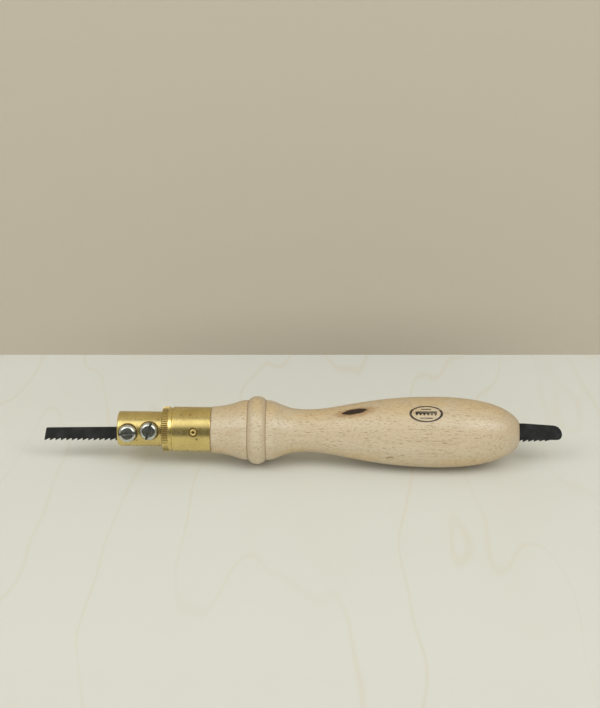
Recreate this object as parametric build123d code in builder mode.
"""Pad saw: a turned beech handle with a brass blade holder and a blade that slides right through it.

The handle lies along X with the toe of the blade towards -X. The origin is on the floor, under the
middle of the blade. The thickest part of the handle, the belly, rests on the floor at Z = 0, and the
saw lies rolled about its own axis, so that its clamp screws look out to the front and a little up.
"""
import os
from math import cos, radians, sin, tan

from build123d import *

# ---------------------------------------------------------------- blade
BLADE_LENGTH = 254.0  # a ten inch blade
BLADE_THICKNESS = 1.2
TOE_WIDTH = 6.3  # tooth tips to back edge, at the toe
HEEL_WIDTH = 9.1  # tooth tips to back edge, where the heel taper starts
TOE_SLANT = 1.1  # the back corner of the toe stands this far behind its tooth corner
TOE_CORNER = 0.5
TOOTH_PITCH = 2.7
TOOTH_DEPTH = 1.05
TOOTH_RAKE = 6.0  # degrees, the cutting faces lean towards the toe
TOOTH_TIP_FLAT = 0.2
GULLET_FLAT = 0.35
HEEL_TAPER = 19.0  # length of the narrowed heel
HEEL_BACK_DROP = 1.3  # how much the back edge comes down along the heel taper
HEEL_TIP_RISE = 0.8  # how much the worn tooth tips come up along the heel taper
HEEL_PLAIN = 5.0  # length without teeth at the very end
HEEL_BACK_RADIUS = 4.2
HEEL_EDGE_RADIUS = 2.4

# ---------------------------------------------------------------- how the blade lies in the saw
TOE_PROJECTION = 36.8  # toe to the front face of the blade holder
TOOTH_DROP = 5.94  # handle axis to the tooth tips, at the front face of the holder
BLADE_TILT = 0.47  # degrees, the tooth line climbs towards the heel
REST_ROLL = 21.5  # degrees, how far the screws point up from level

# ---------------------------------------------------------------- blade holder
NOSE_RADIUS = 8.55
NOSE_LENGTH = 22.0
NOSE_ROUNDING = 0.9
FLANGE_RADIUS = 11.05
FLANGE_WIDTH = 3.2
FLANGE_ROUNDING = 0.6
KNURL_COUNT = 72
KNURL_DEPTH = 0.28
NECK_RADIUS = 10.5
NECK_WIDTH = 1.7
SPIGOT_RADIUS = 7.9
SPIGOT_LENGTH = 12.6
SLOT_HEIGHT = 12.8
SLOT_SIDE_GAP = 0.3  # clearance on each face of the blade
SLOT_BEHIND_SCREW = 0.8  # how far the slot runs on behind the rear screw before the bore begins
HOLDER_BORE_RADIUS = 7.0

# ---------------------------------------------------------------- clamp screws, M5 cheese head
SCREW_RADIUS = 2.5
SCREW_RUNNING_GAP = 0.05
SCREW_HEAD_RADIUS = 4.3
SCREW_HEAD_HEIGHT = 3.3
SCREW_HEAD_ROUNDING = 1.0
SCREW_SLOT_WIDTH = 1.2
SCREW_SLOT_DEPTH = 1.5
SCREW_TIP_GAP = 0.1
SCREW_TIP_CHAMFER = 0.4
FRONT_SCREW_STATION = 5.55  # behind the front face of the holder
SCREW_SPACING = 10.35
FRONT_SCREW_OFFSET = -1.0  # towards the teeth
REAR_SCREW_OFFSET = 0.2  # towards the back edge
FRONT_SLOT_ANGLE = 5.0  # degrees from the handle axis
REAR_SLOT_ANGLE = 73.0

# ---------------------------------------------------------------- ferrule and its pin
FERRULE_RADIUS = 11.0
FERRULE_WALL = 1.0
FERRULE_LENGTH = 18.85
FERRULE_ROUNDING = 0.35
PIN_STATION = 10.6  # behind the front edge of the ferrule
PIN_RADIUS = 1.2
PIN_HEAD_RADIUS = 1.7
PIN_HEAD_HEIGHT = 0.75
PIN_HEAD_ROUNDING = 0.4
PIN_PROUD = 0.3  # the head stands this far out of the ferrule
PIN_DIMPLE_RADIUS = 0.6
PIN_DIMPLE_DEPTH = 0.5
PIN_BITE = 0.7  # how deep the pin goes into the spigot
PIN_RECESS_RADIUS = 2.4
PIN_RECESS_DEPTH = 0.45
FIT_GAP = 0.02  # between pieces that are pressed or glued together

# ---------------------------------------------------------------- wooden handle
SHOULDER_RADIUS = 11.3  # where the wood meets the ferrule
SHOULDER_CHAMFER = 0.2
COVE_LENGTH = 18.1
COVE_RISE = 0.7  # how much the cove has risen before it turns up into the bead's seat
BEAD_SEAT_RADIUS = 14.7
BEAD_RADIUS = 16.7
BEAD_WIDTH = 8.7
NECK_BEHIND_BEAD = 19.7
GRIP_NECK_RADIUS = 10.42
BELLY_BEHIND_NECK = 63.5
BELLY_RADIUS = 17.32
END_BEHIND_BELLY = 41.9
BLADE_BORE_RADIUS = 6.0  # the long bore that swallows the blade
REAR_BORE_RADIUS = 5.2  # the narrower way out at the back
REAR_BORE_DEPTH = 46.0

# ---------------------------------------------------------------- stations along the handle
NOSE_FACE = TOE_PROJECTION - BLADE_LENGTH / 2
FLANGE_FACE = NOSE_FACE + NOSE_LENGTH
NECK_FACE = FLANGE_FACE + FLANGE_WIDTH
FERRULE_FACE = NECK_FACE + NECK_WIDTH
SPIGOT_END = FERRULE_FACE + SPIGOT_LENGTH
WOOD_FACE = FERRULE_FACE + FERRULE_LENGTH
BEAD_START = WOOD_FACE + COVE_LENGTH
BEAD_END = BEAD_START + BEAD_WIDTH
GRIP_NECK = BEAD_END + NECK_BEHIND_BEAD
BELLY = GRIP_NECK + BELLY_BEHIND_NECK
WOOD_END = BELLY + END_BEHIND_BELLY
REAR_BORE_START = WOOD_END - REAR_BORE_DEPTH
FRONT_SCREW = NOSE_FACE + FRONT_SCREW_STATION
REAR_SCREW = FRONT_SCREW + SCREW_SPACING
HOLDER_BORE_START = REAR_SCREW + SCREW_RADIUS + SLOT_BEHIND_SCREW
PIN = FERRULE_FACE + PIN_STATION

# ---------------------------------------------------------------- the saw's own planes
# X runs along the handle, Y from the teeth to the back edge of the blade, Z out along the screws.
AXIS_HEIGHT = max(BELLY_RADIUS, BEAD_RADIUS)
SCREW_DIRECTION = (0, -cos(radians(REST_ROLL)), sin(radians(REST_ROLL)))
saw_plane = Plane(origin=(0, 0, AXIS_HEIGHT), x_dir=(1, 0, 0), z_dir=SCREW_DIRECTION)
saw_axis = Axis(saw_plane.origin, saw_plane.x_dir)
tooth_line_at_toe = -TOOTH_DROP - TOE_PROJECTION * tan(radians(BLADE_TILT))
blade_plane = Plane(
    saw_plane.location * Location((NOSE_FACE - TOE_PROJECTION, tooth_line_at_toe, 0), (0, 0, BLADE_TILT))
)
SLOT_WIDTH = BLADE_THICKNESS + 2 * SLOT_SIDE_GAP


def cross_plane(station):
    """The plane square to the handle axis at a station, with its normal towards the heel."""
    return Plane(
        origin=saw_plane.from_local_coords((station, 0, 0)), x_dir=saw_plane.y_dir, z_dir=saw_plane.x_dir
    )


def radial_plane(station, offset, distance):
    """The plane square to the screws, over a point beside the handle axis, at a distance from it."""
    return Plane(saw_plane.location * Location((station, offset, distance)))


# ---------------------------------------------------------------- handle
TENON_RADIUS = FERRULE_RADIUS - FERRULE_WALL
BEAD_MIDDLE = (BEAD_START + BEAD_END) / 2
shoulder = (WOOD_FACE + SHOULDER_CHAMFER, SHOULDER_RADIUS)
cove_end = (BEAD_START, BEAD_SEAT_RADIUS)
bead_end = (BEAD_END, BEAD_SEAT_RADIUS)
grip_neck = (GRIP_NECK, GRIP_NECK_RADIUS)
belly = (BELLY, BELLY_RADIUS)
wood_end = (WOOD_END, 0)
# How far each curve keeps its starting and ending direction, as shares of the curve's own length.
COVE_PULL = (0.66, 0.31)
GRIP_PULL = (0.30, 0.61)
SWELL_PULL = (0.25, 0.54)
DOME_PULL = (0.62, 0.64)


def pulled_curve(start, end, start_rise, pulls):
    """A curve that leaves with a given rise and arrives level."""
    length = end[0] - start[0]
    Bezier(
        start,
        (start[0] + pulls[0] * length, start[1] + start_rise),
        (end[0] - pulls[1] * length, end[1]),
        end,
    )


with BuildPart() as handle:
    with BuildSketch(saw_plane):
        with BuildLine():
            Polyline(
                wood_end,
                (FERRULE_FACE, 0),
                (FERRULE_FACE, TENON_RADIUS),
                (WOOD_FACE, TENON_RADIUS),
                (WOOD_FACE, SHOULDER_RADIUS - SHOULDER_CHAMFER),
                shoulder,
            )
            pulled_curve(shoulder, cove_end, COVE_RISE, COVE_PULL)
            ThreePointArc(cove_end, (BEAD_MIDDLE, BEAD_RADIUS), bead_end)
            pulled_curve(bead_end, grip_neck, 0, GRIP_PULL)
            pulled_curve(grip_neck, belly, 0, SWELL_PULL)
            Bezier(
                belly,
                (BELLY + DOME_PULL[0] * END_BEHIND_BELLY, BELLY_RADIUS),
                (WOOD_END, DOME_PULL[1] * BELLY_RADIUS),
                wood_end,
            )
        make_face()
    revolve(axis=saw_axis)
    with BuildSketch(cross_plane(FERRULE_FACE)):
        Circle(SPIGOT_RADIUS + FIT_GAP)
    extrude(amount=SPIGOT_LENGTH + FIT_GAP, mode=Mode.SUBTRACT)
    with BuildSketch(cross_plane(FERRULE_FACE)):
        Circle(BLADE_BORE_RADIUS)
    extrude(amount=REAR_BORE_START - FERRULE_FACE, mode=Mode.SUBTRACT)
    with BuildSketch(cross_plane(REAR_BORE_START)):
        Circle(REAR_BORE_RADIUS)
    extrude(amount=REAR_BORE_DEPTH, mode=Mode.SUBTRACT)
    with BuildSketch(radial_plane(PIN, 0, 0)):
        Circle(PIN_RADIUS + FIT_GAP)
    extrude(amount=FERRULE_RADIUS, mode=Mode.SUBTRACT)

handle.part.label = "handle"


# ---------------------------------------------------------------- ferrule
with BuildPart() as ferrule:
    with BuildSketch(cross_plane(FERRULE_FACE)):
        Circle(FERRULE_RADIUS)
        Circle(TENON_RADIUS + FIT_GAP, mode=Mode.SUBTRACT)
    extrude(amount=FERRULE_LENGTH)
    rims = ferrule.edges().filter_by(GeomType.CIRCLE).group_by(SortBy.RADIUS)[-1]
    fillet(rims, FERRULE_ROUNDING)
    with BuildSketch(radial_plane(PIN, 0, FERRULE_RADIUS - PIN_RECESS_DEPTH)):
        Circle(PIN_RECESS_RADIUS)
    extrude(amount=2 * PIN_RECESS_DEPTH, mode=Mode.SUBTRACT)
    with BuildSketch(radial_plane(PIN, 0, 0)):
        Circle(PIN_RADIUS + FIT_GAP)
    extrude(amount=FERRULE_RADIUS, mode=Mode.SUBTRACT)

ferrule.part.label = "ferrule"


# ---------------------------------------------------------------- blade holder
with BuildPart() as blade_holder:
    with BuildSketch(saw_plane):
        with BuildLine():
            Polyline(
                (NOSE_FACE, 0),
                (NOSE_FACE, NOSE_RADIUS),
                (FLANGE_FACE, NOSE_RADIUS),
                (FLANGE_FACE, FLANGE_RADIUS),
                (NECK_FACE, FLANGE_RADIUS),
                (NECK_FACE, NECK_RADIUS),
                (FERRULE_FACE - FIT_GAP, NECK_RADIUS),
                (FERRULE_FACE - FIT_GAP, SPIGOT_RADIUS),
                (SPIGOT_END - FIT_GAP, SPIGOT_RADIUS),
                (SPIGOT_END - FIT_GAP, 0),
                close=True,
            )
        make_face()
    revolve(axis=saw_axis)
    circles = blade_holder.edges().filter_by(GeomType.CIRCLE)
    fillet(circles.sort_by(saw_axis)[0], NOSE_ROUNDING)
    flange_rim = circles.filter_by(lambda edge: abs(edge.radius - FLANGE_RADIUS) < 0.01)
    fillet(flange_rim.sort_by(saw_axis)[0], FLANGE_ROUNDING)
    with BuildSketch(cross_plane(FLANGE_FACE)):
        with PolarLocations(FLANGE_RADIUS, KNURL_COUNT):
            Rectangle(KNURL_DEPTH * 2**0.5, KNURL_DEPTH * 2**0.5, rotation=45)
    extrude(amount=FLANGE_WIDTH, mode=Mode.SUBTRACT)
    with BuildSketch(cross_plane(NOSE_FACE)):
        Rectangle(SLOT_HEIGHT, SLOT_WIDTH)
    extrude(amount=SPIGOT_END - NOSE_FACE, mode=Mode.SUBTRACT)
    with BuildSketch(cross_plane(HOLDER_BORE_START)):
        Circle(HOLDER_BORE_RADIUS)
    extrude(amount=SPIGOT_END - HOLDER_BORE_START, mode=Mode.SUBTRACT)
    for station, offset in ((FRONT_SCREW, FRONT_SCREW_OFFSET), (REAR_SCREW, REAR_SCREW_OFFSET)):
        with BuildSketch(radial_plane(station, offset, 0)):
            Circle(SCREW_RADIUS + SCREW_RUNNING_GAP)
        extrude(amount=NOSE_RADIUS + SCREW_RADIUS, mode=Mode.SUBTRACT)
    with BuildSketch(radial_plane(PIN, 0, SPIGOT_RADIUS - PIN_BITE)):
        Circle(PIN_RADIUS + FIT_GAP)
    extrude(amount=PIN_BITE + PIN_RADIUS, mode=Mode.SUBTRACT)

blade_holder.part.label = "blade_holder"


# ---------------------------------------------------------------- ferrule pin
PIN_TOP = FERRULE_RADIUS + PIN_PROUD
with BuildPart() as ferrule_pin:
    with BuildSketch(radial_plane(PIN, 0, SPIGOT_RADIUS - PIN_BITE + FIT_GAP)):
        Circle(PIN_RADIUS)
    extrude(amount=PIN_TOP - (SPIGOT_RADIUS - PIN_BITE + FIT_GAP))
    with BuildSketch(radial_plane(PIN, 0, PIN_TOP - PIN_HEAD_HEIGHT + FIT_GAP)):
        Circle(PIN_HEAD_RADIUS)
    extrude(amount=PIN_HEAD_HEIGHT - FIT_GAP)
    top_rim = ferrule_pin.edges().filter_by(GeomType.CIRCLE).sort_by(Axis(saw_plane.origin, saw_plane.z_dir))[-1]
    fillet(top_rim, PIN_HEAD_ROUNDING)
    with BuildSketch(radial_plane(PIN, 0, PIN_TOP)):
        Circle(PIN_DIMPLE_RADIUS)
    extrude(amount=-PIN_DIMPLE_DEPTH, mode=Mode.SUBTRACT)

ferrule_pin.part.label = "ferrule_pin"


# ---------------------------------------------------------------- blade
def tooth_outline():
    """The toothed edge from the toe to the heel, with the tips worn down along the heel taper."""
    rake_run = TOOTH_DEPTH * tan(radians(TOOTH_RAKE))
    count = int((BLADE_LENGTH - HEEL_PLAIN) / TOOTH_PITCH)
    outline = []
    for number in range(count):
        tip = number * TOOTH_PITCH
        worn_length = max(0.0, tip - (BLADE_LENGTH - HEEL_TAPER))
        height = worn_length * HEEL_TIP_RISE / HEEL_TAPER
        outline.append((tip, height))
        outline.append((tip + TOOTH_TIP_FLAT, height))
        outline.append((tip + TOOTH_PITCH - GULLET_FLAT + rake_run, TOOTH_DEPTH))
        outline.append((tip + TOOTH_PITCH + rake_run, TOOTH_DEPTH))
    return outline[:-1]


heel_back = HEEL_WIDTH - HEEL_BACK_DROP
with BuildPart() as blade:
    with BuildSketch(blade_plane) as blade_outline:
        with BuildLine():
            Polyline(
                *tooth_outline(),
                (BLADE_LENGTH, TOOTH_DEPTH),
                (BLADE_LENGTH, heel_back),
                (BLADE_LENGTH - HEEL_TAPER, HEEL_WIDTH),
                (TOE_SLANT, TOE_WIDTH),
                close=True,
            )
        make_face()
        fillet(blade_outline.vertices().sort_by_distance((BLADE_LENGTH, TOOTH_DEPTH))[0], HEEL_EDGE_RADIUS)
        fillet(blade_outline.vertices().sort_by_distance((BLADE_LENGTH, heel_back))[0], HEEL_BACK_RADIUS)
        fillet(blade_outline.vertices().sort_by_distance((TOE_SLANT, TOE_WIDTH))[0], TOE_CORNER)
    extrude(amount=BLADE_THICKNESS / 2, both=True)

blade.part.label = "blade"


# ---------------------------------------------------------------- clamp screws
def clamp_screw(label, station, offset, slot_angle):
    """A cheese-head screw whose head sits on the holder and whose tip stops at the blade."""
    tip = BLADE_THICKNESS / 2 + SCREW_TIP_GAP
    head_top = NOSE_RADIUS + SCREW_HEAD_HEIGHT
    outward = Axis(saw_plane.origin, saw_plane.z_dir)
    with BuildPart() as screw:
        with BuildSketch(radial_plane(station, offset, tip)):
            Circle(SCREW_RADIUS)
        extrude(amount=head_top - tip)
        tip_rim = screw.edges().filter_by(GeomType.CIRCLE).sort_by(outward)[0]
        chamfer(tip_rim, SCREW_TIP_CHAMFER)
        with BuildSketch(radial_plane(station, offset, NOSE_RADIUS)):
            Circle(SCREW_HEAD_RADIUS)
        extrude(amount=SCREW_HEAD_HEIGHT)
        head_rim = screw.edges().filter_by(GeomType.CIRCLE).sort_by(outward)[-1]
        fillet(head_rim, SCREW_HEAD_ROUNDING)
        with BuildSketch(radial_plane(station, offset, head_top)):
            Rectangle(2 * SCREW_HEAD_RADIUS + 1, SCREW_SLOT_WIDTH, rotation=slot_angle)
        extrude(amount=-SCREW_SLOT_DEPTH, mode=Mode.SUBTRACT)
    screw.part.label = label
    return screw


front_screw = clamp_screw("front_clamp_screw", FRONT_SCREW, FRONT_SCREW_OFFSET, FRONT_SLOT_ANGLE)
rear_screw = clamp_screw("rear_clamp_screw", REAR_SCREW, REAR_SCREW_OFFSET, REAR_SLOT_ANGLE)

# ---------------------------------------------------------------- one file for each piece
os.makedirs("parts", exist_ok=True)
for piece in (handle, ferrule, blade_holder, ferrule_pin, blade, front_screw, rear_screw):
    export_step(piece.part, f"parts/{piece.part.label}.step")
